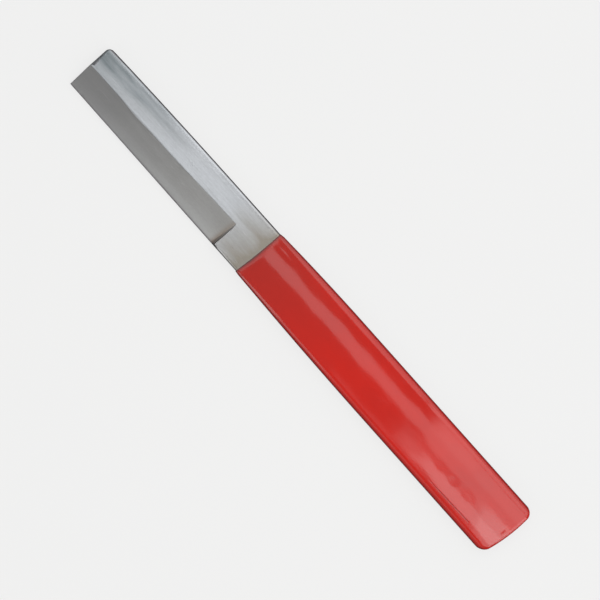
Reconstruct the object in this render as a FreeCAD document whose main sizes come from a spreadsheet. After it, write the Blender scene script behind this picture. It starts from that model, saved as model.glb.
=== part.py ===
"""Hive tool made of two pieces: a flat steel bar, ground like a chisel along one side of its blade,
and the red vinyl grip that its tang is dipped in.

Frame: +X runs from the blade's tip to the butt of the grip, +Y towards the spine, +Z up, with the
ground bevel facing up. The origin is under the middle of the tool, on the surface it lies on.
Lengths are in millimetres and angles in degrees.
"""
import FreeCAD, Part
import os

import Sketcher

# Driving dimensions: alias, value, what it measures.
SIZES = [
    ("overall_length", 250.0, "tip of the blade to the furthest point of the butt"),
    ("exposed_length", 100.0, "tip to the mouth of the grip, along the cutting edge"),
    ("steel_width", 23.0, "side to side of the bar, at the tang"),
    ("steel_thick", 4.0, "thickness of the bar"),
    ("bar_round", 1.2, "rounding along the bar's long edges"),
    ("spine_drop", 1.0, "how far the spine falls, in a long curve, from the mouth to the tip"),
    ("edge_setback", 0.2, "how far grinding has moved the cutting edge inside the bar's side"),
    ("edge_taper", 0.3, "further narrowing of the blade at the cutting edge, towards the tip"),
    ("tip_lean", 0.5, "how far the tip leans back between the ridge and the cutting edge"),
    ("tip_corner", 2.1, "how far from the tip's corner at the spine its filing starts, both ways"),
    ("tip_corner_arc", 2.6, "radius of that filed corner"),
    ("tip_break_run", 0.9, "broken edge on top of the tip, measured along the tool"),
    ("tip_break_drop", 0.5, "broken edge on top of the tip, measured down the end face"),
    ("bevel_width", 11.8, "cutting edge to the ridge where the bevel starts"),
    ("bevel_length", 86.0, "tip to the wall where the bevel stops"),
    ("edge_land", 0.35, "height of the flat left at the cutting edge"),
    ("plunge_round", 1.5, "radius between the bevel and the wall that ends it"),
    ("plunge_skew", 3.5, "angle of that wall from square, seen from above"),
    ("tang_corner", 2.0, "radius of the two corners at the end of the tang"),
    ("coat_side", 1.4, "full thickness of the coat on the sides of the tang"),
    ("coat_face", 1.2, "full thickness of the coat on the faces of the tang"),
    ("coat_butt", 1.8, "thickness of the coat over the end of the tang"),
    ("coat_mouth", 0.3, "thickness of the coat at its mouth, all round"),
    ("flare_length", 45.0, "mouth to the place where the coat has its full thickness"),
    ("mouth_skew", 1.5, "how much further up the tang the dip line lies at the spine"),
    ("butt_arc", 70.0, "radius of the butt's end, seen from above"),
    ("butt_arc_offset", 5.0, "how far that arc's centre lies towards the spine"),
    ("butt_corner", 3.5, "radius of the butt's two corners, seen from above"),
    ("grip_round", 1.8, "rounding along the grip's edges"),
]

# Lengths worked out from the driving dimensions, as formulas of the sheet.
TIP_X = "(-sizes.overall_length / 2)"
MOUTH_X = f"({TIP_X} + sizes.exposed_length)"
FULL_X = f"({MOUTH_X} + sizes.flare_length)"
PLUNGE_X = f"({TIP_X} + sizes.bevel_length)"
BUTT_X = "(sizes.overall_length / 2)"
BUTT_ARC_X = "(sizes.overall_length / 2 - sizes.butt_arc)"
HALF_STEEL = "(sizes.steel_width / 2)"
HALF_GRIP = f"({HALF_STEEL} + sizes.coat_side)"
HALF_MOUTH = f"({HALF_STEEL} + sizes.coat_mouth)"
HALF_BLADE = f"({HALF_STEEL} - sizes.edge_setback)"
RIDGE_Y = f"(sizes.bevel_width - {HALF_BLADE})"
STEEL_TOP = "(sizes.coat_face + sizes.steel_thick)"
GRIP_TOP = f"({STEEL_TOP} + sizes.coat_face)"
BEVEL_ANGLE = "atan((sizes.steel_thick - sizes.edge_land) / sizes.bevel_width)"

OVERRUN = 3.0  # how far each cutting sketch reaches past the solid that it cuts
START, END = 1, 2  # the sketcher's numbers for the two ends of a curve
ORIGIN = (-1, 1)


def arc_radius(run, rise):
    """Radius of the arc that leaves a straight line at a tangent and strays by rise over run."""
    return f"(({run} ^ 2 + {rise} ^ 2) / (2 * {rise}))"


def arc_end_x(centre_x, radius, away):
    """How far along X an arc reaches at a distance away from its centre line."""
    return f"({centre_x} + sqrt({radius} ^ 2 - ({away}) ^ 2))"


def make_sheet(doc):
    """The spreadsheet that holds every driving dimension under its alias."""
    sheet = doc.addObject("Spreadsheet::Sheet", "sizes")
    for row, (alias, value, meaning) in enumerate(SIZES, start=1):
        sheet.set(f"A{row}", alias)
        sheet.set(f"B{row}", str(value))
        sheet.set(f"C{row}", meaning)
        sheet.setAlias(f"B{row}", alias)
    doc.recompute()


def size_of(obj, formula):
    """The formula's present value, as a plain number."""
    value = obj.evalExpression(str(formula))
    return float(getattr(value, "Value", value))


def new_sketch(body, name, plane, offset=None):
    """A sketch on one of the body's origin planes, moved off it by a placement formula if given."""
    sketch = body.newObject("Sketcher::SketchObject", name)
    origin_plane = [f for f in body.Origin.OriginFeatures if f.Role == plane][0]
    sketch.AttachmentSupport = [(origin_plane, "")]
    sketch.MapMode = "FlatFace"
    if offset:
        sketch.setExpression("AttachmentOffset", offset)
    return sketch


def dimension(sketch, kind, name, formula, *refs):
    """Adds a named dimension to the sketch and binds it to a formula of the sheet."""
    index = sketch.addConstraint(Sketcher.Constraint(kind, *refs, size_of(sketch, formula)))
    sketch.renameConstraint(index, name)
    sketch.setExpression(f"Constraints.{name}", str(formula))


def outline(sketch, corners, arcs=None):
    """Draws a closed outline through its corners, each (name, x formula, y formula).

    The run from a corner to the next is a straight line, unless arcs names that corner with the
    formula of a radius. Such an arc bulges to the right of the way that the outline runs.
    """
    arcs = arcs or {}
    first = sketch.GeometryCount
    places = [FreeCAD.Vector(size_of(sketch, x), size_of(sketch, y), 0) for _, x, y in corners]
    for i, (name, _, _) in enumerate(corners):
        start, end = places[i], places[(i + 1) % len(corners)]
        if name not in arcs:
            sketch.addGeometry(Part.LineSegment(start, end))
            continue
        chord = end - start
        radius = size_of(sketch, arcs[name])
        swell = radius - (radius**2 - (chord.Length / 2) ** 2) ** 0.5
        outwards = FreeCAD.Vector(chord.y, -chord.x, 0).normalize()
        sketch.addGeometry(Part.Arc(start, (start + end) / 2 + outwards * swell, end))
    for i in range(len(corners)):
        following = first + (i + 1) % len(corners)
        sketch.addConstraint(Sketcher.Constraint("Coincident", first + i, END, following, START))
    for i, (name, x, y) in enumerate(corners, start=first):
        dimension(sketch, "DistanceX", f"{name}_x", x, *ORIGIN, i, START)
        dimension(sketch, "DistanceY", f"{name}_y", y, *ORIGIN, i, START)
        if name in arcs:
            dimension(sketch, "Radius", f"{name}_radius", arcs[name], i)


def pad(body, name, sketch, length, both_ways=False):
    """Extrudes the sketch by a formula of the sheet, to one side of its plane or centred on it."""
    feature = body.newObject("PartDesign::Pad", name)
    feature.Profile = sketch
    feature.SideType = "Symmetric" if both_ways else "One side"
    feature.setExpression("Length", length)
    body.Document.recompute()
    return feature


def pocket(body, name, sketch):
    """Cuts the sketch right through the body, both ways, and makes sure that it removes material."""
    volume = body.Shape.Volume
    feature = body.newObject("PartDesign::Pocket", name)
    feature.Profile = sketch
    feature.SideType = "Symmetric"
    feature.setExpression("Length", "sizes.overall_length")
    body.Document.recompute()
    if not feature.isValid() or body.Shape.Volume > volume - 1e-3:
        raise RuntimeError(f"{name} cuts nothing")
    return feature


def fillet(body, name, radius, wanted):
    """Rounds the edges whose two faces pass the wanted(edge, face, face) test."""
    base = body.Tip
    edges = []
    for number, edge in enumerate(base.Shape.Edges, start=1):
        faces = base.Shape.ancestorsOfType(edge, Part.Face)
        if len(faces) == 2 and wanted(edge, *faces):
            edges.append(f"Edge{number}")
    feature = body.newObject("PartDesign::Fillet", name)
    feature.Base = (base, edges)
    feature.setExpression("Radius", radius)
    body.Document.recompute()
    if not feature.isValid():
        raise RuntimeError(f"{name} has failed on {edges}")
    return feature


def normal_of(face):
    """The face's outward normal in the middle of its surface."""
    u_low, u_high, v_low, v_high = face.ParameterRange
    return face.normalAt((u_low + u_high) / 2, (v_low + v_high) / 2)


def is_upright(face):
    """True for a wall that stands on the outline, and False for a top or bottom face."""
    return abs(normal_of(face).z) < 0.5


def stands_between(edge, x_low, x_high):
    """True for an upright edge that lies between two places along the tool."""
    box = edge.BoundBox
    return box.XLength < 1e-6 and box.YLength < 1e-6 and x_low < box.XMin < x_high


def make_blade(doc):
    """The steel bar: blade, the bare stretch behind the bevel, and the tang inside the grip."""
    body = doc.addObject("PartDesign::Body", "blade_and_tang")
    body.setExpression("Placement.Base.z", "sizes.coat_face")
    tang_arc = "(sizes.butt_arc - sizes.coat_butt)"
    spine_arc = arc_radius("sizes.exposed_length", "sizes.spine_drop")
    spine_tip_y = f"({HALF_STEEL} - sizes.spine_drop)"

    # The bar's own sides are rounded. The side that will be ground is laid on square beside it.
    plan = new_sketch(body, "bar_plan", "XY_Plane")
    outline(
        plan,
        [
            ("ridge_tip", TIP_X, RIDGE_Y),
            ("ridge_end", PLUNGE_X, RIDGE_Y),
            ("heel", PLUNGE_X, f"-{HALF_STEEL}"),
            (
                "tang_edge",
                arc_end_x(BUTT_ARC_X, tang_arc, f"{HALF_STEEL} + sizes.butt_arc_offset"),
                f"-{HALF_STEEL}",
            ),
            (
                "tang_spine",
                arc_end_x(BUTT_ARC_X, tang_arc, f"{HALF_STEEL} - sizes.butt_arc_offset"),
                HALF_STEEL,
            ),
            ("spine_mouth", MOUTH_X, HALF_STEEL),
            ("spine_tip", TIP_X, spine_tip_y),
        ],
        {"tang_edge": tang_arc, "spine_mouth": spine_arc},
    )
    pad(body, "bar", plan, "sizes.steel_thick")

    mouth = size_of(body, MOUTH_X)
    plunge = size_of(body, PLUNGE_X)
    butt = size_of(body, BUTT_X)
    fillet(
        body,
        "tang_corners",
        "sizes.tang_corner",
        lambda edge, *faces: stands_between(edge, mouth, butt),
    )

    def is_long_edge(edge, one, other):
        """An edge along the spine, along the bar behind the bevel, or round the tang's end."""
        wall, cap = (one, other) if is_upright(one) else (other, one)
        along_spine = normal_of(wall).y > 0.5
        behind_bevel = wall.BoundBox.XMax > plunge + OVERRUN
        return is_upright(wall) and not is_upright(cap) and (along_spine or behind_bevel)

    fillet(body, "long_edges", "sizes.bar_round", is_long_edge)

    ground_side = new_sketch(body, "ground_side_plan", "XY_Plane")
    outline(
        ground_side,
        [
            ("tip_edge", f"{TIP_X} + sizes.tip_lean", f"sizes.edge_taper - {HALF_BLADE}"),
            ("bevel_end", PLUNGE_X, f"-{HALF_BLADE}"),
            ("ridge_end", PLUNGE_X, RIDGE_Y),
            ("ridge_tip", TIP_X, RIDGE_Y),
        ],
    )
    pad(body, "ground_side", ground_side, "sizes.steel_thick")

    corner = new_sketch(body, "tip_corner_plan", "XY_Plane")
    corner_x = f"({TIP_X} + sizes.tip_corner)"
    to_mouth = "(sizes.exposed_length - sizes.tip_corner)"
    corner_y = f"({HALF_STEEL} - {spine_arc} + sqrt({spine_arc} ^ 2 - {to_mouth} ^ 2))"
    end_y = f"{spine_tip_y} - sizes.tip_corner"
    outline(
        corner,
        [
            ("side", corner_x, corner_y),
            ("end", TIP_X, end_y),
            ("clear_end", f"{TIP_X} - {OVERRUN}", end_y),
            ("clear", f"{TIP_X} - {OVERRUN}", f"{corner_y} + {OVERRUN}"),
            ("clear_side", corner_x, f"{corner_y} + {OVERRUN}"),
        ],
        {"side": "sizes.tip_corner_arc"},
    )
    pocket(body, "tip_corner_cut", corner)

    # Its plane holds the tool's length and the bevel's upward normal, so that the cut runs along the
    # slope of the bevel. The second turn skews the wall where the grinding stopped.
    slope = f"rotation(vector(1; 0; 0); {BEVEL_ANGLE})"
    skew = "rotation(vector(0; 1; 0); -sizes.plunge_skew)"
    grind_at = f"vector({PLUNGE_X}; sizes.edge_land; {HALF_BLADE})"
    grind = new_sketch(body, "grind_profile", "XZ_Plane", f"placement({grind_at}; {slope} * {skew})")
    reach = f"(sizes.bevel_length + {OVERRUN})"
    above = f"(sizes.steel_thick + {OVERRUN})"
    outline(
        grind,
        [
            ("tip", f"-{reach}", "0"),
            ("round_start", "-sizes.plunge_round", "0"),
            ("round_end", "0", "sizes.plunge_round"),
            ("clear_wall", "0", above),
            ("clear_tip", f"-{reach}", above),
        ],
        {"round_start": "sizes.plunge_round"},
    )
    pocket(body, "bevel", grind)

    tip_break = new_sketch(body, "tip_break_profile", "XZ_Plane")
    run, drop = "sizes.tip_break_run", "sizes.tip_break_drop"
    outline(
        tip_break,
        [
            ("low", f"{TIP_X} - {run}", f"sizes.steel_thick - 2 * {drop}"),
            ("high", f"{TIP_X} + 2 * {run}", f"sizes.steel_thick + {drop}"),
            ("clear", f"{TIP_X} - {run}", f"sizes.steel_thick + {drop}"),
        ],
    )
    pocket(body, "tip_break", tip_break)
    return body


def make_grip_outside(doc):
    """The outside of the dipped coat, as a solid with the tang's room still filled."""
    body = doc.addObject("PartDesign::Body", "grip_outside")
    side_flare = arc_radius("sizes.flare_length", "(sizes.coat_side - sizes.coat_mouth)")
    face_flare = arc_radius("sizes.flare_length", "(sizes.coat_face - sizes.coat_mouth)")

    profile = new_sketch(body, "side_profile", "XZ_Plane")
    outline(
        profile,
        [
            ("mouth_low", MOUTH_X, "sizes.coat_face - sizes.coat_mouth"),
            ("full_low", FULL_X, "0"),
            ("butt_low", BUTT_X, "0"),
            ("butt_high", BUTT_X, GRIP_TOP),
            ("full_high", FULL_X, GRIP_TOP),
            ("mouth_high", MOUTH_X, f"{STEEL_TOP} + sizes.coat_mouth"),
        ],
        {"mouth_low": face_flare, "full_high": face_flare},
    )
    pad(body, "coat", profile, f"2 * {HALF_GRIP} + {OVERRUN}", both_ways=True)

    plan = new_sketch(body, "grip_plan", "XY_Plane")
    outline(
        plan,
        [
            ("mouth_edge", MOUTH_X, f"-{HALF_MOUTH}"),
            ("full_edge", FULL_X, f"-{HALF_GRIP}"),
            (
                "butt_edge",
                arc_end_x(BUTT_ARC_X, "sizes.butt_arc", f"{HALF_GRIP} + sizes.butt_arc_offset"),
                f"-{HALF_GRIP}",
            ),
            (
                "butt_spine",
                arc_end_x(BUTT_ARC_X, "sizes.butt_arc", f"{HALF_GRIP} - sizes.butt_arc_offset"),
                HALF_GRIP,
            ),
            ("full_spine", f"{FULL_X} + sizes.mouth_skew", HALF_GRIP),
            ("mouth_spine", f"{MOUTH_X} + sizes.mouth_skew", HALF_MOUTH),
        ],
        {
            "mouth_edge": side_flare,
            "butt_edge": "sizes.butt_arc",
            "full_spine": side_flare,
        },
    )
    clear_x = f"{BUTT_X} + {OVERRUN}"
    clear_y = f"({HALF_GRIP} + {OVERRUN})"
    outline(
        plan,
        [
            ("clear_mouth_edge", f"{MOUTH_X} - {OVERRUN}", f"-{clear_y}"),
            ("clear_butt_edge", clear_x, f"-{clear_y}"),
            ("clear_butt_spine", clear_x, clear_y),
            ("clear_mouth_spine", f"{MOUTH_X} - {OVERRUN}", clear_y),
        ],
    )
    pocket(body, "plan_cut", plan)

    butt = size_of(body, BUTT_X)
    corner_reach = 2 * size_of(body, "sizes.butt_corner")
    fillet(
        body,
        "butt_corners",
        "sizes.butt_corner",
        lambda edge, *faces: stands_between(edge, butt - corner_reach, butt),
    )

    def is_rim(edge, one, other):
        """An edge between a side wall and the top or bottom, and not at the mouth."""
        wall, cap = (one, other) if is_upright(one) else (other, one)
        return is_upright(wall) and not is_upright(cap) and normal_of(wall).x > -0.9

    fillet(body, "grip_edges", "sizes.grip_round", is_rim)
    return body


def make_grip(doc, outside, blade):
    """The dipped coat itself: its outside, less the steel that it has set around."""
    grip = doc.addObject("Part::Cut", "dipped_grip")
    grip.Base = outside
    grip.Tool = blade
    doc.recompute()
    return grip


def check(doc, parts):
    """Stops the build if any object of the document, or any sub-part's shape, has failed."""
    for obj in doc.Objects:
        if "Invalid" in obj.State or "Error" in obj.State:
            raise RuntimeError(f"{obj.Name} has failed: {obj.State}")
    for part in parts:
        shape = part.Shape
        if shape.isNull() or not shape.isValid() or len(shape.Solids) != 1:
            raise RuntimeError(f"{part.Label} isn't one valid solid")


def export(parts):
    """Writes each sub-part to parts/LABEL.step."""
    os.makedirs("parts", exist_ok=True)
    for part in parts:
        part.Shape.exportStep(f"parts/{part.Label}.step")
        print(f"{part.Label}: {part.Shape.Volume / 1000:.2f} cm3, {part.Shape.BoundBox}")


doc = FreeCAD.newDocument("hive_tool")
make_sheet(doc)
blade_and_tang = make_blade(doc)
dipped_grip = make_grip(doc, make_grip_outside(doc), blade_and_tang)
check(doc, [blade_and_tang, dipped_grip])
export([blade_and_tang, dipped_grip])
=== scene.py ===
"""Hive tool: a flat steel bar ground along one side of its blade, its tang dipped in red vinyl.

Frame, in metres: +X runs from the tip to the butt, +Y towards the spine, +Z up, bevel upwards.
Each piece is a closed surface of stations along the tool and columns across it.
"""
import math

import bpy
import numpy as np
from mathutils import Matrix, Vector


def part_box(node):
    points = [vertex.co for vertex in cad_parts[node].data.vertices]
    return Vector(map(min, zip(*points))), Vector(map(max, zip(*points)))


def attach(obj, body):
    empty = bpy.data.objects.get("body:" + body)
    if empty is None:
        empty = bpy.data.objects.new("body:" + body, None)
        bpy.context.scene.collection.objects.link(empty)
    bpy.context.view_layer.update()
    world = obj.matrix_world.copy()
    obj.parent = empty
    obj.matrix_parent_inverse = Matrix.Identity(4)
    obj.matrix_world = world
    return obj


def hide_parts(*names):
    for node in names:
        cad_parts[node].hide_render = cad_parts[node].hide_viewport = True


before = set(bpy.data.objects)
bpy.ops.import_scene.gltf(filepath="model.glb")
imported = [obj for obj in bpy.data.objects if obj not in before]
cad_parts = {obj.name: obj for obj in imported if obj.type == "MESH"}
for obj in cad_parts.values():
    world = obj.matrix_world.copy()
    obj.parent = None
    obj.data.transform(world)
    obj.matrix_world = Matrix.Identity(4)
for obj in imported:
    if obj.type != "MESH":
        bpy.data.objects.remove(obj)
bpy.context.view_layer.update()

# ------------------------------------------------------------------------------------- steel bar
# One length of 23 by 4 mm flat bar, left square at the tip. Its spine drops a little towards the
# tip, and one side is ground to a single long bevel that stops at a rounded wall. The back is
# flat, and the last 148 mm are the tang that the grip is dipped over. Sizes are in millimetres.
MM = 0.001

steel_low, steel_high = (np.array(corner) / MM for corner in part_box("blade_and_tang"))
TIP_X, BACK_Z = steel_low[0], steel_low[2]
TANG_END_X, FACE_Z = steel_high[0], steel_high[2]
HALF_BAR = steel_high[1]
BAR_THICK = FACE_Z - BACK_Z

MOUTH_X = TIP_X + 100.0
WALL_X = TIP_X + 86.0
BAR_ROUND = 1.2
SPINE_DROP = 1.0
EDGE_INSET, EDGE_INSET_TIP = 0.2, 0.5
EDGE_LAND = 0.35
EDGE_ROUND = 0.3
WALL_ROUND = 1.5
WALL_LEAN = math.radians(80)
WALL_SKEW = math.tan(math.radians(3.5))
HEEL_RUN, HEEL_DROP = 2.6, 1.5
TIP_LEAN = 0.2
TIP_RUN, TIP_FALL, TIP_LIFT = 1.4, 0.43, 0.05
TIP_CORNER = 2.3
SHARP_ROUND = 0.04
CRISP_FROM = math.radians(38)
TANG_ARC, TANG_ARC_X, BUTT_ARC_Y = 68.2, 55.0, 5.0


def eased(t):
    """Rises smoothly from 0 to 1 while t does, as 3t^2 - 2t^3, and stays level outside."""
    t = np.clip(t, 0, 1)
    return t * t * (3 - 2 * t)


def lesser(a, b, blend):
    """The lesser of a and b, with a parabola across where they are within blend of each other."""
    h = np.clip(0.5 + 0.5 * (b - a) / blend, 0, 1)
    return b + (a - b) * h - blend * h * (1 - h)


def hump(t):
    """A bell round 0, exp(-t^2)."""
    return np.exp(-t * t)


def quarter(inset, radius):
    """How far a rounded corner's arc has fallen, at a distance inside the side it ends on."""
    left = np.clip(radius - inset, 0, radius)
    return radius - np.sqrt(radius * radius - left * left)


def closed_piece(name, top, bottom, marks):
    """A closed mesh from two grids of points, shaped (stations, columns, 3), in millimetres.

    Each station's ring runs across the top and back across the bottom, rings are joined by quads,
    and the first and last rings are closed by strips from the top columns to the bottom ones.
    marks holds grids of numbers for the top and bottom together, stored as point attributes.
    """
    stations, columns = top.shape[:2]
    ring = 2 * columns
    points = np.concatenate([top, bottom[:, ::-1]], axis=1).reshape(-1, 3) * MM
    k, i = np.meshgrid(np.arange(stations - 1), np.arange(ring), indexing="ij")
    here, along = k * ring + i, k * ring + (i + 1) % ring
    wall = np.stack([here, along, along + ring, here + ring], axis=-1).reshape(-1, 4)
    j = np.arange(columns - 1)
    under = ring - 1 - j
    first_end = np.stack([j, under, under - 1, j + 1], axis=-1)
    last_end = np.stack([j, j + 1, under - 1, under], axis=-1) + (stations - 1) * ring
    faces = np.concatenate([wall, first_end, last_end])
    mesh = bpy.data.meshes.new(name)
    mesh.from_pydata(points.tolist(), [], faces.tolist())
    for mark, (above, below) in marks.items():
        values = np.concatenate([above, below[:, ::-1]], axis=1).astype(np.float32)
        mesh.attributes.new(mark, "FLOAT", "POINT").data.foreach_set("value", values.ravel())
    mesh.polygons.foreach_set("use_smooth", np.ones(len(mesh.polygons), bool))
    mesh.set_sharp_from_angle(angle=CRISP_FROM)
    piece = bpy.data.objects.new(name, mesh)
    bpy.context.scene.collection.objects.link(piece)
    return piece


def ridge_y(s):
    """Where the bevel starts: just above the middle, with a dip ground into it a quarter of the
    way along, climbing towards the wall, and turned down into it over a quarter arc."""
    dip = 0.68 * hump((s + 97) / 8) + 0.12 * hump((s + 82) / 9)
    return 0.27 - dip + 0.85 * eased((s + 78) / 40) - 0.8 * quarter(WALL_X - 0.5 - s, 0.8)


def bevel_z(s, y):
    """The ground plane at station s, from the face at the ridge down to the land at the edge, and
    past the wall a quarter arc, larger towards the edge, and then a steep rise."""
    edge = HALF_BAR - EDGE_INSET - (EDGE_INSET_TIP - EDGE_INSET) * (WALL_X - s) / (WALL_X - TIP_X)
    slope = (BAR_THICK - EDGE_LAND) / (ridge_y(s) + edge)
    plane = FACE_Z - slope * (ridge_y(s) - y)
    radius = WALL_ROUND * (0.5 + 0.5 * np.clip((ridge_y(s) - y) / (ridge_y(s) + edge), 0, 1))
    past = s - (WALL_X - radius - 0.5)
    turn = radius * math.sin(WALL_LEAN)
    arc = radius - np.sqrt(radius**2 - np.clip(past, 0, turn) ** 2)
    return plane + arc + np.clip(past - turn, 0, None) * math.tan(WALL_LEAN)


def dip_line(y):
    """Where the grip's coat ends across the bar: a parabola that falls away from the spine."""
    return MOUTH_X + 0.38 - 0.0024 * np.clip(9 - y, 0, None) ** 2


# Streaks along the face near the tip, darker or lighter than the painted shade round them: their
# place across the bar, half width, place along the bar, half length, and share.
TIP_STREAKS = [
    (8.9, 0.35, -101, 7, 0.15),
    (8.5, 0.55, -111, 7, 0.38),
    (6.8, 0.9, -113, 7, -0.28),
    (9.8, 0.35, -108, 14, -0.25),
]


def bar_marks(s, y, flat_z, spine, ridge, edge, left):
    """The marks that the material reads on the top and the back, from 0 to 1: humps and eased
    steps of the distances to the ridge, the wall, the edges, the tip and the grip."""
    to_wall = np.clip((WALL_X - s) / (WALL_X - TIP_X), 0, 1)
    behind_wall = eased((s - WALL_X) / HEEL_RUN)
    on_bevel = eased((FACE_Z - flat_z + 0.01) / 0.09) * (s < WALL_X + 0.3) * (y < ridge + 1)
    over_face = eased((y - ridge + 0.4) / 1.2)
    up_face = np.clip((y - ridge) / (spine - ridge), 0, 1)
    depth = np.clip((ridge - y) / (ridge + edge), 0, 1)
    level = np.zeros_like(y)

    # Painted shade darkens the steep sides, and the rounded wedge at the tip, which would look
    # dark.
    by_edge = eased((-y - edge + 0.5) / 0.3) * (1 - 0.7 * behind_wall)
    side_from = 0.9 + 0.3 * (1 - eased((s + 123) / 9))
    side = np.maximum(eased((y - spine + side_from) / 0.7), by_edge)
    tip_dark = 0.72 * (1 - 0.75 * up_face)
    side = np.maximum(side, tip_dark * eased(left * 2.6) * over_face)

    # Painted brown shade lies in the hollow that the wheel left at the wall; its rise is painted
    # lighter below.
    gap = np.clip(WALL_X - s, 0, None)
    in_hollow = eased((gap - 0.4) / 0.6) * (1 - eased((gap - 1.2) / 2.6)) * on_bevel
    hollow_shade = in_hollow * (0.35 + 0.5 * depth)
    # Painted shade: a dark spot at the heel behind the wall, and a dark line along the cutting
    # edge.
    heel = hump((s - WALL_X - 0.7) / 1.1) * eased((1.1 - edge - y) / 0.9)
    edge_shade_line = (0.1 + 0.42 * eased((s + 100) / 35)) * eased((0.8 - edge - y) / 0.4)
    heel = np.maximum(heel, edge_shade_line * (s < WALL_X))

    # Painted highlights on the wall's rise, the ridge near the tip and the corner behind the
    # bevel, and painted light on the bevel, lighter towards its edge and the wall.
    toward_wall = 1 - to_wall
    painted_light = 0.75 * hump((gap - 0.75) / 0.35) * on_bevel * (1 - 0.2 * depth)
    painted_light = painted_light + 0.25 * hump((y - ridge) / 0.2) * (1 - eased((s + 124) / 5)) * (s < WALL_X)
    lighter_to_wall = depth**3 * (0.05 + 0.17 * toward_wall) + 0.05 * toward_wall**2
    painted_light = painted_light + (y < ridge) * (gap > 0.6) * lighter_to_wall
    painted_light = painted_light + 0.3 * behind_wall * hump((y + edge - 0.15) / 0.3)

    # Painted shade darkens the face near the tip, mostly towards the spine, and the bevel towards
    # the tip, with streaks through it; beside the grip the steel is browned, with painted shade
    # at the dip line.
    far = 0.28 * (1 - eased((s + 124) / 14)) + 0.72 * (1 - eased((s + 102) / 34))
    low = 0.45 - 0.28 * eased((s + 116) / 14)
    dark_from = 1.8 + 1.6 * eased((s + 112) / 20)
    across = low + (0.95 - low) * eased((y - dark_from) / 3.6)
    across = across - 0.3 * eased((y - 7.8) / 1.2) * (1 - eased((s + 118) / 9))
    for at_y, wide, at_s, long, share in TIP_STREAKS:
        across = across + share * hump((y - at_y) / wide) * hump((s - at_s) / long)
    tip_shade_and_streaks = np.where(y > ridge, far * across, 0.7 * (1 - np.clip((s + 108) / 60, 0, 1)))
    # Brown stain in bands beside the grip, and painted shade in the last millimetres before the
    # dip line.
    near = np.clip((s + 47) / 20, 0, 1)
    bands = 0.62 + 0.38 * hump((y - 5) / 2.2) + 0.38 * hump((y + 7) / 5)
    bands = bands - 0.12 * hump((y - 10) / 0.9)
    to_grip = dip_line(y) - s
    stain_and_grip_shade = near * bands + 0.25 * hump(to_grip / 3.0) + 0.5 * hump(to_grip / 0.8)
    return {
        "tip_shade_and_streaks": (tip_shade_and_streaks, level),
        "stain_and_grip_shade": (stain_and_grip_shade, level),
        "wall": (hollow_shade, level),
        "heel": (heel, level),
        "bevel": (on_bevel, level),
        "painted_light": (painted_light, level),
        "side": (side, side),
    }


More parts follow.
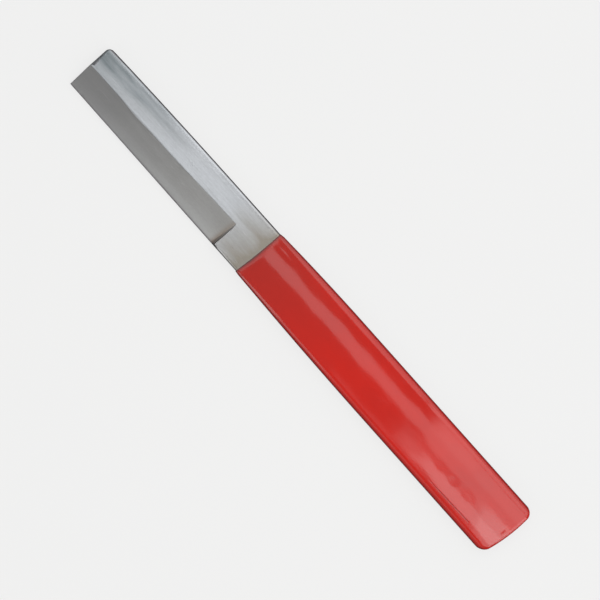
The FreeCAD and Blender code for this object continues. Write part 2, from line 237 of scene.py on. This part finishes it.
def bar_surface():
    """The bar's top and bottom grids, and its marks.

    Columns run from the spine's side over the face and the bevel to the edge. The top is the
    lesser of the flat face and the ground plane, blended at the ridge, with a quarter arc down
    each side. The back is flat between two quarter arcs. Stations are moved along the tool by an
    arc at the tip's corner, a slant at the wall and an arc at the tang's end, and the top falls
    with the square of the distance into the tip's wedge.
    """
    s = np.concatenate(
        [
            TIP_X + TIP_RUN * np.linspace(0, 1, 9),
            np.arange(TIP_X + 2.2, WALL_X - 2.3, 0.8),
            np.arange(WALL_X - 2.2, WALL_X + 0.3, 0.04),
            np.arange(WALL_X + 0.4, MOUTH_X + 3, 0.3),
            np.arange(MOUTH_X + 5, TANG_END_X - 12, 6.0),
            np.linspace(TANG_END_X - 10, TANG_END_X, 8),
        ]
    )[:, None]
    to_wall = np.clip((WALL_X - s) / (WALL_X - TIP_X), 0, 1)
    behind_wall = eased((s - WALL_X) / HEEL_RUN)
    spine = HALF_BAR - SPINE_DROP * np.clip((MOUTH_X - s) / 100, 0, 1) ** 2.6
    ground = HALF_BAR - EDGE_INSET - (EDGE_INSET_TIP - EDGE_INSET) * to_wall
    edge = ground + (HALF_BAR - ground) * eased((s - MOUTH_X - 2) / 8)
    ridge = ridge_y(s)
    crispness = 0.05 + 0.22 * hump((s + 97.5) / 9) + 0.05 * eased((s + 108) / 30)

    edge_top = np.minimum(FACE_Z, bevel_z(s, -edge))
    grown = (edge_top - BACK_Z - EDGE_LAND) / (BAR_THICK - EDGE_LAND)
    top_round = EDGE_ROUND + (BAR_ROUND - EDGE_ROUND) * grown
    back_round = SHARP_ROUND + (BAR_ROUND - SHARP_ROUND) * grown**2

    turn = np.radians(np.linspace(90, 0, 11))[None, :]
    over_spine = spine - BAR_ROUND * (1 - np.sin(turn))
    t = np.linspace(0, 1, 47)[None, 1:]
    face_end = spine - BAR_ROUND
    across_face = face_end + (ridge - face_end) * (1 - (1 - t) ** 1.7)
    t = np.linspace(0, 1, 55)[None, 1:]
    bevel_end = -(edge - top_round)
    across_bevel = ridge + (bevel_end - ridge) * t**1.5
    edge_turn = np.radians(np.linspace(0, 90, 11))[None, 1:]
    over_edge = bevel_end - top_round * np.sin(edge_turn)
    y = np.concatenate([over_spine, across_face, across_bevel, over_edge], axis=1)

    flat_z = lesser(FACE_Z, bevel_z(s, np.maximum(y, bevel_end)), crispness)
    low = edge_top - top_round - HEEL_DROP * (1 - behind_wall) * grown
    low = np.maximum(low, BACK_Z + TIP_LIFT)
    edge_fall = (flat_z[:, -1:] - low) * (1 - np.cos(edge_turn))
    z_top = flat_z.copy()
    z_top[:, : turn.size] -= BAR_ROUND * (1 - np.cos(turn))
    z_top[:, -edge_turn.size :] -= edge_fall
    z_back = BACK_Z + quarter(spine - y, BAR_ROUND) + quarter(edge + y, back_round)

    spine_inset = np.clip(TIP_CORNER - (spine - y), 0, TIP_CORNER)
    tip_back = TIP_CORNER - np.sqrt(TIP_CORNER**2 - spine_inset**2)
    tip_back = tip_back + TIP_LEAN * np.clip((ridge - y) / (ridge + edge), 0, 1)
    tip_near = 1 - eased((s - TIP_X - TIP_RUN) / 14)
    wall_near = 1 - eased((np.abs(s - WALL_X) - 2.5) / 9)
    end_near = eased((s - TANG_END_X + 14) / 10)
    corner = quarter(HALF_BAR - np.abs(y), 2.0)
    end_x = TANG_ARC_X + np.sqrt((TANG_ARC - corner) ** 2 - (y - BUTT_ARC_Y) ** 2)
    x = s + tip_back * tip_near + WALL_SKEW * (y + ground) * wall_near
    x = x + (end_x - TANG_END_X) * end_near

    # The tip's top edge is broken by a rounded wedge, widest beside the ridge.
    over_face = eased((y - ridge + 0.4) / 1.2)
    up_face = np.clip((y - ridge) / (spine - ridge), 0, 1)
    wedge = 0.14 + over_face * (1.9 - 1.4 * up_face**0.7)
    left = np.clip(1 - (s - TIP_X) / TIP_RUN, 0, 1)
    x = x + (wedge - TIP_RUN) * np.where(s < TIP_X + TIP_RUN, 1 - left, tip_near)
    z_top = z_top - TIP_FALL * wedge * left**2
    z_back = z_back + TIP_LIFT * left

    marks = bar_marks(s, y, flat_z, spine, ridge, edge, left)
    return np.stack([x, y, z_top], axis=-1), np.stack([x, y, z_back], axis=-1), marks


blade = closed_piece("steel_bar", *bar_surface())


def put(socket, value):
    """Links another node's output into a socket, or sets a constant on it."""
    if isinstance(value, bpy.types.NodeSocket):
        socket.id_data.links.new(value, socket)
    else:
        socket.default_value = value


def adder(tree):
    """The function add(kind, Socket_name=value), which adds a node to one tree."""

    def add(kind, **inputs):
        node = tree.nodes.new(kind)
        for socket, value in inputs.items():
            put(node.inputs[socket.replace("_", " ")], value)
        return node

    return add


def new_material(name):
    """An empty node material: the material, its shader, and its add."""
    material = bpy.data.materials.new(name)
    material.use_nodes = True
    tree = material.node_tree
    tree.nodes.clear()
    output = tree.nodes.new("ShaderNodeOutputMaterial")
    shader = tree.nodes.new("ShaderNodeBsdfPrincipled")
    tree.links.new(shader.outputs["BSDF"], output.inputs["Surface"])
    return material, shader, adder(tree)


def scaled(add, vector, scale):
    """The pattern coordinates, stretched by a scale for each axis."""
    return add("ShaderNodeMapping", Vector=vector, Scale=scale).outputs["Vector"]


def noise(add, vector, scale, detail=3.0, roughness=0.5):
    """Fractal noise from 0 to 1."""
    node = add("ShaderNodeTexNoise", Vector=vector, Scale=scale, Detail=detail)
    put(node.inputs["Roughness"], roughness)
    return node.outputs["Fac"]


def remap(add, value, low, high, to_low, to_high, steps="LINEAR"):
    """Carries a value from one range to another, held level outside it."""
    node = add("ShaderNodeMapRange")
    node.interpolation_type = steps
    for index, number in enumerate((value, low, high, to_low, to_high)):
        put(node.inputs[index], number)
    return node.outputs["Result"]


def calc(add, operation, a, b):
    """One arithmetic step on two values."""
    node = add("ShaderNodeMath")
    node.operation = operation
    for index, number in enumerate((a, b)):
        put(node.inputs[index], number)
    return node.outputs["Value"]


def mixed(add, share, a, b):
    """Colour or number a turned into b by a share."""
    node = add("ShaderNodeMix")
    node.data_type = "RGBA" if isinstance(a, tuple) or a.type == "RGBA" else "FLOAT"
    for name, value in (("Factor", share), ("A", a), ("B", b)):
        put([i for i in node.inputs if i.name == name and i.enabled][0], value)
    return [o for o in node.outputs if o.enabled][0]


def mark(add, name):
    """A number stored on the mesh's points."""
    node = add("ShaderNodeAttribute")
    node.attribute_name = name
    return node.outputs["Fac"]


def handling_group():
    """Marks that use leaves on steel and vinyl alike, each from 0 to 1.

    Scratches are where noise, drawn out along the tool, passes through its middle value. Specks
    are the middles of some of the cells that scattered points divide the surface into.
    """
    group = bpy.data.node_groups.new("handling", "ShaderNodeTree")
    for name, kind in (("Vector", "Vector"), ("Fineness", "Float"), ("Speck Size", "Float")):
        group.interface.new_socket(name, in_out="INPUT", socket_type="NodeSocket" + kind)
    for name in ("Scratches", "Specks"):
        group.interface.new_socket(name, in_out="OUTPUT", socket_type="NodeSocketFloat")
    add = adder(group)
    given = add("NodeGroupInput").outputs
    drawn = noise(add, scaled(add, given["Vector"], (25, 900, 900)), given["Fineness"], 2.0, 0.6)
    off_middle = calc(add, "ABSOLUTE", calc(add, "SUBTRACT", drawn, 0.5), 0.0)
    line = remap(add, off_middle, 0.0, 0.012, 1.0, 0.0)
    some = remap(add, noise(add, given["Vector"], 160.0, 2.0), 0.52, 0.62, 0.0, 1.0)
    cells = add("ShaderNodeTexVoronoi", Vector=given["Vector"], Scale=150.0)
    near = calc(add, "LESS_THAN", cells.outputs["Distance"], given["Speck Size"])
    chosen = add("ShaderNodeSeparateXYZ", Vector=cells.outputs["Color"]).outputs["X"]
    speck = calc(add, "MULTIPLY", near, calc(add, "GREATER_THAN", chosen, 0.72))
    out = add("NodeGroupOutput")
    put(out.inputs["Scratches"], calc(add, "MULTIPLY", line, some))
    put(out.inputs["Specks"], speck)
    return group


def handled(add, vector, fineness, speck_size):
    """The handling marks, placed in one material with its own values."""
    node = add("ShaderNodeGroup")
    node.node_tree = handling
    put(node.inputs["Vector"], vector)
    put(node.inputs["Fineness"], fineness)
    put(node.inputs["Speck Size"], speck_size)
    return node.outputs["Scratches"], node.outputs["Specks"]


handling = handling_group()

# The face is brushed along its length, the bevel is ground finer and duller, and the sides are
# painted darker as shade. Handling has left faint cloudy streaks, with a brown tinge beside the
# grip, and a fine dark grain lies all over.
FACE_STEEL = (0.555, 0.575, 0.60, 1)
FACE_STEEL_DULL = (0.452, 0.468, 0.484, 1)
BEVEL_STEEL = (0.328, 0.324, 0.313, 1)
BEVEL_STEEL_DULL = (0.298, 0.295, 0.283, 1)
SHADED_TIP_FACE = (0.188, 0.216, 0.227, 1)
SHADED_TIP_BEVEL = (0.205, 0.205, 0.206, 1)
DARK_GRAIN_AND_SHADE_STEEL = (0.20, 0.19, 0.20, 1)
STAIN_AND_SHADE_STEEL = (0.29, 0.265, 0.225, 1)
HOLLOW_SHADE_STEEL = (0.255, 0.19, 0.14, 1)
HEEL_SHADE_STEEL = (0.05, 0.025, 0.025, 1)
SCRATCH_AND_LIGHT_STEEL = (0.86, 0.88, 0.90, 1)
HOLLOW_SHADED, HEEL_SHADED, GRAINED, SPECKLED = 0.9, 0.9, 0.11, 0.45

steel, steel_shader, add = new_material("ground_steel")
place = add("ShaderNodeTexCoord").outputs["Object"]
on_bevel, painted_light, on_side = mark(add, "bevel"), mark(add, "painted_light"), mark(add, "side")
by_hollow_shade, by_heel = mark(add, "wall"), mark(add, "heel")

cloudy = noise(add, scaled(add, place, (30, 170, 60)), 1.0, 4.0, 0.55)
streaky = noise(add, scaled(add, place, (14, 1400, 200)), 1.0, 5.0, 0.6)
fine = noise(add, scaled(add, place, (60, 5200, 900)), 1.0, 3.0, 0.6)
tone = calc(add, "ADD", calc(add, "MULTIPLY", cloudy, 0.6), calc(add, "MULTIPLY", streaky, 0.4))
face_colour = mixed(add, remap(add, tone, 0.38, 0.60, 0.0, 1.0), FACE_STEEL_DULL, FACE_STEEL)
bevel_tone = noise(add, scaled(add, place, (45, 90, 60)), 1.0, 4.0, 0.6)
bevel_tone = remap(add, bevel_tone, 0.35, 0.65, 0.0, 1.0)
bevel_colour = mixed(add, bevel_tone, BEVEL_STEEL_DULL, BEVEL_STEEL)
colour = mixed(add, on_bevel, face_colour, bevel_colour)
patchy = noise(add, scaled(add, place, (70, 420, 60)), 1.0, 4.0, 0.55)
patches = mixed(add, on_bevel, remap(add, patchy, 0.3, 0.7, 0.72, 1.28), 1.0)
# Painted shade towards the tip, broken by patches, with streaks through it.
tip_shade_and_streaks = calc(add, "MULTIPLY", mark(add, "tip_shade_and_streaks"), patches)
colour = mixed(add, tip_shade_and_streaks, colour, mixed(add, on_bevel, SHADED_TIP_FACE, SHADED_TIP_BEVEL))
# Brown stain beside the grip, and painted shade at the dip line.
stain_and_grip_shade = calc(add, "MULTIPLY", mark(add, "stain_and_grip_shade"), remap(add, patchy, 0.3, 0.7, 0.8, 1.15))
colour = mixed(add, stain_and_grip_shade, colour, STAIN_AND_SHADE_STEEL)
# Painted highlights and painted light from the marks.
colour = mixed(add, painted_light, colour, SCRATCH_AND_LIGHT_STEEL)
# Painted brown shade in the hollow at the wall.
colour = mixed(add, calc(add, "MULTIPLY", by_hollow_shade, HOLLOW_SHADED), colour, HOLLOW_SHADE_STEEL)
# Painted shade at the heel and along the cutting edge.
colour = mixed(add, calc(add, "MULTIPLY", by_heel, HEEL_SHADED), colour, HEEL_SHADE_STEEL)
# Painted shade on the steep sides and the tip's wedge.
colour = mixed(add, on_side, colour, DARK_GRAIN_AND_SHADE_STEEL)
scratches, specks = handled(add, place, 1.0, 0.03)
scratched = calc(add, "MULTIPLY", scratches, remap(add, on_bevel, 0.0, 1.0, 0.16, 0.05))
colour = mixed(add, scratched, colour, SCRATCH_AND_LIGHT_STEEL)
grain = noise(add, scaled(add, place, (800, 2000, 2000)), 1.0, 2.0, 0.6)
colour = mixed(add, remap(add, grain, 0.35, 0.65, 0.0, GRAINED), colour, DARK_GRAIN_AND_SHADE_STEEL)
colour = mixed(add, calc(add, "MULTIPLY", specks, SPECKLED), colour, DARK_GRAIN_AND_SHADE_STEEL)
put(steel_shader.inputs["Base Color"], colour)
steel_shader.inputs["Metallic"].default_value = 1.0
face_rough = remap(add, streaky, 0.3, 0.7, 0.30, 0.42)
roughness = calc(add, "ADD", face_rough, calc(add, "MULTIPLY", on_bevel, 0.08))
roughness = calc(add, "SUBTRACT", roughness, calc(add, "MULTIPLY", scratches, 0.08))
put(steel_shader.inputs["Roughness"], roughness)
brushing = calc(add, "ADD", calc(add, "MULTIPLY", streaky, 0.5), calc(add, "MULTIPLY", fine, 0.5))
bump = add("ShaderNodeBump", Strength=0.35, Distance=0.00002, Height=brushing)
put(steel_shader.inputs["Normal"], bump.outputs["Normal"])

blade.data.materials.append(steel)
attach(blade, "root")
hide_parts("blade_and_tang")

# ------------------------------------------------------------------------------------ dipped grip
# Liquid vinyl that has set round the hot tang and holds by its own grip: thin at the dip line,
# thicker further in, drawn into soft round edges, with the slight waves and runs that a coat
# dries with.
grip_low, grip_high = (np.array(corner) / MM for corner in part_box("dipped_grip"))
BUTT_X, HALF_GRIP = grip_high[0], grip_high[1]
MID_Z = (grip_low[2] + grip_high[2]) / 2
HALF_THICK = (grip_high[2] - grip_low[2]) / 2
LIP_COAT, LIP_COAT_EDGE = 0.3, 0.16
FLARE_SPINE, FLARE_EDGE, FLARE_FACE = 50.0, 75.0, 45.0
BUTT_ARC, BUTT_CORNER, BUTT_ROUND = 70.0, 3.5, 1.3
LIP_X, LIP_RUN = MOUTH_X + 0.4, 2.0
FIT_GAP = 0.015
CROWN = 0.25
# Waves over the coat: height, wavelength over 2 pi along the tool, slant and phase.
WAVES = [(0.004, 4.1, 0.3, 1.0), (0.003, 7.3, -0.35, 2.2), (0.0015, 2.3, 0.6, 0.0)]
# Dents: place along and across, half length, half width, depth.
DENTS = [
    (86.0, -2.2, 1.6, 1.3, 0.010),
    (94.0, -2.4, 2.0, 1.5, 0.014),
    (102.0, -2.2, 2.2, 1.4, 0.010),
    (121.6, -1.1, 0.7, 1.3, 0.030),
    (72.0, -5.5, 4.0, 2.0, 0.008),
    (-18.5, 7.5, 4.2, 0.8, 0.018),
]


def coat(lip, full, flare, x):
    """The coat's thickness along the tool: it grows from the lip along a parabola that levels out
    where the flare ends."""
    to_full = np.clip(1 - (x - MOUTH_X) / flare, 0, 1)
    return full - (full - lip) * to_full**2


def columns_across(to_spine, to_edge, rounding):
    """Columns from the spine's side to the edge's: an arc, the flat between, and an arc again."""
    turn = np.radians(np.linspace(90, 0, 13))[None, :]
    in_from_side = rounding * (1 - np.sin(turn))
    t = np.linspace(0, 1, 63)[None, 1:-1]
    flat = (to_spine - rounding) * (1 - t) - (to_edge - rounding) * t
    return np.concatenate([to_spine - in_from_side, flat, in_from_side[:, ::-1] - to_edge], axis=1)


def grip_surface():
    """The coat's top and bottom grids, and its marks.

    Stations run from the end of the tang's room to the lip, over the lip, and along the outside
    to the butt. Inside, each is the bar's own outline with a hair of room. Outside, it is the
    bar's outline grown by the coat: half the thickness less a quarter arc near the sides and
    the butt, less a crown that grows with the square of the distance from the middle, plus
    three slanted sine waves, less a few bell-shaped dents.
    """
    s_in = np.concatenate(
        [
            np.linspace(TANG_END_X, TANG_END_X - 12, 8),
            np.arange(TANG_END_X - 18, MOUTH_X + 3, -6.0),
        ]
    )[:, None]
    s_out = np.concatenate(
        [
            LIP_X + LIP_RUN * np.linspace(0, 1, 19) ** 2,
            np.arange(MOUTH_X + 3.0, BUTT_X - 6, 0.8),
            BUTT_X - 5.0 * (1 - np.sin(np.radians(np.linspace(0, 90, 22)))),
        ]
    )[:, None]

    # Inside: the tang's own shape, a hair larger.
    room = HALF_BAR + FIT_GAP + 0 * s_in
    y_in = columns_across(room, room, BAR_ROUND)
    fall = quarter(HALF_BAR + FIT_GAP - np.abs(y_in), BAR_ROUND)
    half_in = BAR_THICK / 2 + FIT_GAP - fall
    corner = quarter(HALF_BAR + FIT_GAP - np.abs(y_in), 2.0)
    end_x = TANG_ARC_X + np.sqrt((TANG_ARC + FIT_GAP - corner) ** 2 - (y_in - BUTT_ARC_Y) ** 2)
    x_in = s_in + (end_x - TANG_END_X) * eased((s_in - TANG_END_X + 16) / 12)

    # Outside: the bar's shape grown by the coat, rounded off towards every side and crowned.
    lip = np.clip((s_out - LIP_X) / LIP_RUN, 0, 1)
    rolled = np.sqrt(1 - (1 - np.clip(lip * 9, 0, 1)) ** 2)
    lip_share = 0.12 * rolled + 0.88 * (1 - (1 - lip) ** 1.5)
    lip_share = lip_share * (1 - FIT_GAP / LIP_COAT) + FIT_GAP / LIP_COAT
    side_full, face_full = HALF_GRIP - HALF_BAR, HALF_THICK - BAR_THICK / 2
    spine_coat = coat(LIP_COAT, side_full, FLARE_SPINE, s_out) * lip_share
    edge_coat = coat(LIP_COAT_EDGE, side_full, FLARE_EDGE, s_out) * lip_share
    face_coat = coat(LIP_COAT, face_full, FLARE_FACE, s_out) * lip_share
    thick = BAR_THICK / 2 + face_coat
    rounding = BAR_ROUND + (spine_coat + face_coat) * 0.62
    y = columns_across(HALF_BAR + spine_coat, HALF_BAR + edge_coat, rounding)
    width = HALF_BAR + np.where(y > 0, spine_coat, edge_coat)
    butt_corner = quarter(HALF_GRIP - np.abs(y), BUTT_CORNER)
    end_x = BUTT_X - BUTT_ARC + np.sqrt((BUTT_ARC - butt_corner) ** 2 - (y - BUTT_ARC_Y) ** 2)
    lip_near = 1 - eased((s_out - MOUTH_X - 1.2) / 12)
    x = s_out + (dip_line(y) - LIP_X) * lip_near
    x = x + (end_x - BUTT_X) * eased((s_out - BUTT_X + 26) / 20)
    from_side = width - np.abs(y)
    from_end = BUTT_ARC - np.hypot(np.clip(x - (BUTT_X - BUTT_ARC), 0, None), y - BUTT_ARC_Y)
    corner_reach = np.hypot(
        np.clip(BUTT_CORNER - from_side, 0, None), np.clip(BUTT_CORNER - from_end, 0, None)
    )
    inside = np.minimum(from_side, from_end)
    inside = np.where(
        (from_side < BUTT_CORNER) & (from_end < BUTT_CORNER), BUTT_CORNER - corner_reach, inside
    )
    inside = np.clip(inside, 0, None)
    rounding = BUTT_ROUND + (rounding - BUTT_ROUND) * eased((from_end - from_side + 3) / 6)
    half = thick - quarter(inside, rounding)
    grown = eased((x - MOUTH_X - 2) / 6)
    bowed = eased((x - MOUTH_X - 0.2) / 3)
    crown = CROWN * (y / (HALF_GRIP - 2.4)) ** 2 * bowed * eased(inside / rounding)
    ripple = sum(high * np.sin(x / long + slant * y + start) for high, long, slant, start in WAVES)
    dents = sum(
        deep * hump((x - at_x) / long) * hump((y - at_y) / wide)
        for at_x, at_y, long, wide, deep in DENTS
    )
    z_top = MID_Z + half - crown + ((ripple - 0.012) * grown - dents) * eased(inside / 2)
    z_bottom = MID_Z - half + 0.4 * crown
    top = np.concatenate(
        [np.stack([x_in, y_in, MID_Z + half_in], axis=-1), np.stack([x, y, z_top], axis=-1)]
    )
    bottom = np.concatenate(
        [np.stack([x_in, y_in, MID_Z - half_in], axis=-1), np.stack([x, y, z_bottom], axis=-1)]
    )
    # The lip is painted dark as the shade where the coat ends, and more broadly below the middle.
    lip_shade = hump((s_out - LIP_X) / 0.75)
    lip_shade = lip_shade + 0.3 * hump((s_out - LIP_X) / 2.2) * hump((y + 3) / 4.5)
    inner = np.ones_like(y_in)
    lip_shade_marks = np.concatenate([inner, lip_shade])
    # Painted shade darkens the coat towards its sides, but not at the butt's end.
    dark = 1 - 0.55 * eased(inside / 1.6) - 0.45 * eased(inside / 0.6)
    dark = dark * (1 - 0.9 * eased((x - BUTT_X + 3.5) / 2))
    rim_shade = np.concatenate([inner, dark])
    return top, bottom, {"lip": (lip_shade_marks, lip_shade_marks), "rim_shade": (rim_shade, rim_shade)}


grip = closed_piece("vinyl_grip", *grip_surface())

VINYL_RED = (0.555, 0.013, 0.006, 1)
VINYL_RED_DULL = (0.49, 0.014, 0.008, 1)
VINYL_THIN = (0.385, 0.021, 0.014, 1)
VINYL_SHADE_AND_SPECK = (0.16, 0.009, 0.010, 1)
VINYL_CREASE_SHADE = (0.27, 0.011, 0.010, 1)
VINYL_LIP_SHADE = (0.10, 0.024, 0.022, 1)
VINYL_IOR = 1.53

vinyl, vinyl_shader, add = new_material("dipped_vinyl")
place = add("ShaderNodeTexCoord").outputs["Object"]
mottle = noise(add, scaled(add, place, (40, 70, 70)), 1.0, 3.0, 0.5)
split = add("ShaderNodeSeparateXYZ", Vector=place)
along, across = split.outputs["X"], split.outputs["Y"]
colour = mixed(add, remap(add, mottle, 0.35, 0.65, 0.0, 1.0), VINYL_RED_DULL, VINYL_RED)
colour = mixed(add, remap(add, along, -0.025, 0.030, 0.8, 0.0), colour, VINYL_THIN)
# Painted shade towards the coat's sides; the same dark red marks the specks below.
colour = mixed(add, calc(add, "MULTIPLY", mark(add, "rim_shade"), 0.85), colour, VINYL_SHADE_AND_SPECK)
scratches, specks = handled(add, place, 1.6, 0.025)
colour = mixed(add, calc(add, "MULTIPLY", specks, 0.35), colour, VINYL_SHADE_AND_SPECK)
# Painted shade at the lip.
colour = mixed(add, calc(add, "MULTIPLY", mark(add, "lip"), 0.9), colour, VINYL_LIP_SHADE)

# A crease runs beside the edge towards the butt, painted darker as its shade and sunk by a
# bump, and the coat is duller where it is thinnest.
drift = calc(add, "SUBTRACT", across, remap(add, along, 0.0895, 0.110, -0.0092, -0.0087))
to_line = calc(add, "ABSOLUTE", drift, 0.0)
in_line = remap(add, to_line, 0.00008, 0.00036, 1.0, 0.0, "SMOOTHSTEP")
begun = remap(add, along, 0.086, 0.093, 0.0, 1.0, "SMOOTHSTEP")
lasting = remap(add, along, 0.1095, 0.1105, 1.0, 0.0, "SMOOTHSTEP")
crease = calc(add, "MULTIPLY", in_line, calc(add, "MULTIPLY", begun, lasting))
# Painted shade in the crease.
colour = mixed(add, calc(add, "MULTIPLY", crease, 0.8), colour, VINYL_CREASE_SHADE)
put(vinyl_shader.inputs["Base Color"], colour)
thin = remap(add, along, -0.0240, -0.0215, 1.0, 0.0, "SMOOTHSTEP")
roughness = remap(add, mottle, 0.3, 0.7, 0.04, 0.07)
roughness = calc(add, "ADD", roughness, calc(add, "MULTIPLY", thin, 0.12))
roughness = calc(add, "ADD", roughness, calc(add, "MULTIPLY", scratches, 0.1))
put(vinyl_shader.inputs["Roughness"], roughness)
sunk = add("ShaderNodeBump", Strength=0.15, Distance=0.0001)
put(sunk.inputs["Height"], calc(add, "SUBTRACT", 0.0, crease))
put(vinyl_shader.inputs["Normal"], sunk.outputs["Normal"])
vinyl_shader.inputs["IOR"].default_value = VINYL_IOR
grip.data.materials.append(vinyl)
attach(grip, "root")
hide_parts("dipped_grip")

# ----------------------------------------------------------------------------------------- studio
# A pale table under a dim ceiling, with a long strip lamp over the grip, a window of panes and
# sills over its butt, soft panels to the sides and past the tip, and low panels that light the
# coat's rim.
REACH = 4.0
TABLE_GLOW = 0.773
floor_mesh = bpy.data.meshes.new("floor")
corners = [(-REACH, -REACH, 0), (REACH, -REACH, 0), (REACH, REACH, 0), (-REACH, REACH, 0)]
floor_mesh.from_pydata(corners, [], [(0, 1, 2, 3)])
floor = bpy.data.objects.new("floor", floor_mesh)
bpy.context.scene.collection.objects.link(floor)
paper, paper_shader, add = new_material("pale_paper")
paper_shader.inputs["Base Color"].default_value = (0.10, 0.10, 0.10, 1)
paper_shader.inputs["Roughness"].default_value = 1.0
paper_shader.inputs["Specular IOR Level"].default_value = 0.0
paper_shader.inputs["Emission Color"].default_value = (1, 1, 0.995, 1)
paper_shader.inputs["Emission Strength"].default_value = TABLE_GLOW
floor_mesh.materials.append(paper)
floor.visible_glossy = False
floor.visible_diffuse = False


def panel(name, centre, size, aim, radiance):
    """A rectangular lamp at a place, turned to face another, seen only by what it lights.

    A lamp's watts over its area and pi give the brightness that a reflection of it shows.
    """
    lamp = bpy.data.lights.new(name, "AREA")
    lamp.shape = "RECTANGLE"
    lamp.size, lamp.size_y = size
    lamp.energy = radiance * math.pi * size[0] * size[1]
    holder = bpy.data.objects.new(name, lamp)
    bpy.context.scene.collection.objects.link(holder)
    down = np.array(aim) - np.array(centre)
    forward = down / np.linalg.norm(down)
    across = np.array([1.0, 0, 0]) - forward[0] * forward
    across = across / np.linalg.norm(across)
    up = np.cross(-forward, across)
    turned = Matrix(np.stack([across, up, -forward], axis=1).tolist())
    holder.matrix_world = Matrix.Translation(centre) @ turned.to_4x4()
    holder.visible_camera = False
    return holder


panel("strip", (-0.07, 0.0255, 0.700), (0.338, 0.037), (-0.07, 0.0255, 0), 1.4)
panel("strip_far", (0.056, 0.04525, 0.700), (0.086, 0.0025), (0.056, 0.04525, 0), 1.4)
panel("pane_high", (0.198, 0.041, 0.700), (0.20, 0.086), (0.198, 0.041, 0), 1.65)
panel("pane_top", (0.198, 0.061, 0.710), (0.20, 0.046), (0.198, 0.061, 0), 0.4)
panel("pane_low", (0.194, -0.046, 0.700), (0.212, 0.040), (0.194, -0.046, 0), 0.95)
panel("pane_low_far", (0.202, -0.046, 0.710), (0.196, 0.040), (0.202, -0.046, 0), 1.75)
panel("sill", (0.194, -0.0135, 0.700), (0.212, 0.025), (0.194, -0.0135, 0), 0.65)
panel("sill_mid", (0.133, -0.0135, 0.710), (0.005, 0.025), (0.133, -0.0135, 0), 1.1)
panel("sill_far", (0.221, -0.0135, 0.710), (0.158, 0.025), (0.221, -0.0135, 0), 1.2)
panel("pane_foot", (0.17, -0.083, 0.700), (0.26, 0.034), (0.17, -0.083, 0), 0.4)
panel("pane_end", (0.226, -0.072, 0.720), (0.148, 0.168), (0.226, -0.072, 0), 1.4)
panel("butt_high", (0.225, 0.317, 0.68), (0.27, 0.47), (0.225, 0, 0), 1.9)
panel("butt_side", (0.62, 0.0, 0.56), (0.95, 0.26), (0.12, 0.0, 0), 2.9)
panel("wing_high", (-0.20, 0.30, 0.68), (0.57, 0.42), (-0.20, 0, 0), 1.3)
panel("side_high", (-0.01, 0.75, 0.45), (1.2, 0.6), (-0.01, 0, 0), 0.95)
panel("side_low", (-0.235, -0.674, 0.33), (0.24, 0.6), (-0.235, 0, 0), 1.2)
panel("rim_mouth", (-0.070, -0.53, 0.50), (0.09, 0.62), (-0.070, 0, 0), 1.9)
panel("rim_low", (0.004, -0.56, 0.47), (0.058, 0.42), (0.004, 0, 0), 1.1)
panel("rim_butt", (0.17, -0.52, 0.60), (0.30, 0.32), (0.17, 0, 0), 0.5)
panel("tip_side", (-0.37, 0.0, 0.70), (0.49, 0.3), (-0.023, 0, 0), 0.65)

# The room outside the lamps: pale walls, a dimmer ceiling, and little light from below. It is
# itself seen as an even pale ground.
ROOM_SHADES = ((0.0, 0.16), (0.05, 0.40), (0.4, 0.42), (0.8, 0.29))
PALE_GROUND = (0.88, 0.88, 0.88, 1)
world = bpy.data.worlds.new("room")
bpy.context.scene.world = world
world.use_nodes = True
world.node_tree.nodes.clear()
add = adder(world.node_tree)
parts = add("ShaderNodeSeparateXYZ", Vector=add("ShaderNodeTexCoord").outputs["Generated"])
walls = add("ShaderNodeValToRGB", Fac=parts.outputs["Z"])
while len(walls.color_ramp.elements) < len(ROOM_SHADES):
    walls.color_ramp.elements.new(0.5)
for stop, (height, shade) in zip(walls.color_ramp.elements, ROOM_SHADES):
    stop.position = height
    stop.color = (0.98 * shade, 0.99 * shade, shade, 1)
lit = add("ShaderNodeBackground", Color=walls.outputs["Color"])
seen = add("ShaderNodeBackground", Color=PALE_GROUND)
choose = add("ShaderNodeMixShader")
put(choose.inputs[0], add("ShaderNodeLightPath").outputs["Is Camera Ray"])
put(choose.inputs[1], lit.outputs[0])
put(choose.inputs[2], seen.outputs[0])
put(add("ShaderNodeOutputWorld").inputs["Surface"], choose.outputs[0])

# The camera hangs straight over the tool, turned so that the tip points up and to the left.
LENS, SENSOR = 300.0, 36.0
FRAME_WIDTH = 0.2378
TURN = math.radians(48.306)
camera_data = bpy.data.cameras.new("camera")
camera_data.lens = LENS
camera_data.sensor_width = SENSOR
camera_data.clip_end = 20.0
camera = bpy.data.objects.new("camera", camera_data)
bpy.context.scene.collection.objects.link(camera)
camera.location = (0.0, 0.0, FACE_Z * MM + FRAME_WIDTH * LENS / SENSOR)
camera.rotation_euler = (0, 0, TURN)
bpy.context.scene.camera = camera
bpy.context.scene.view_settings.view_transform = "Standard"
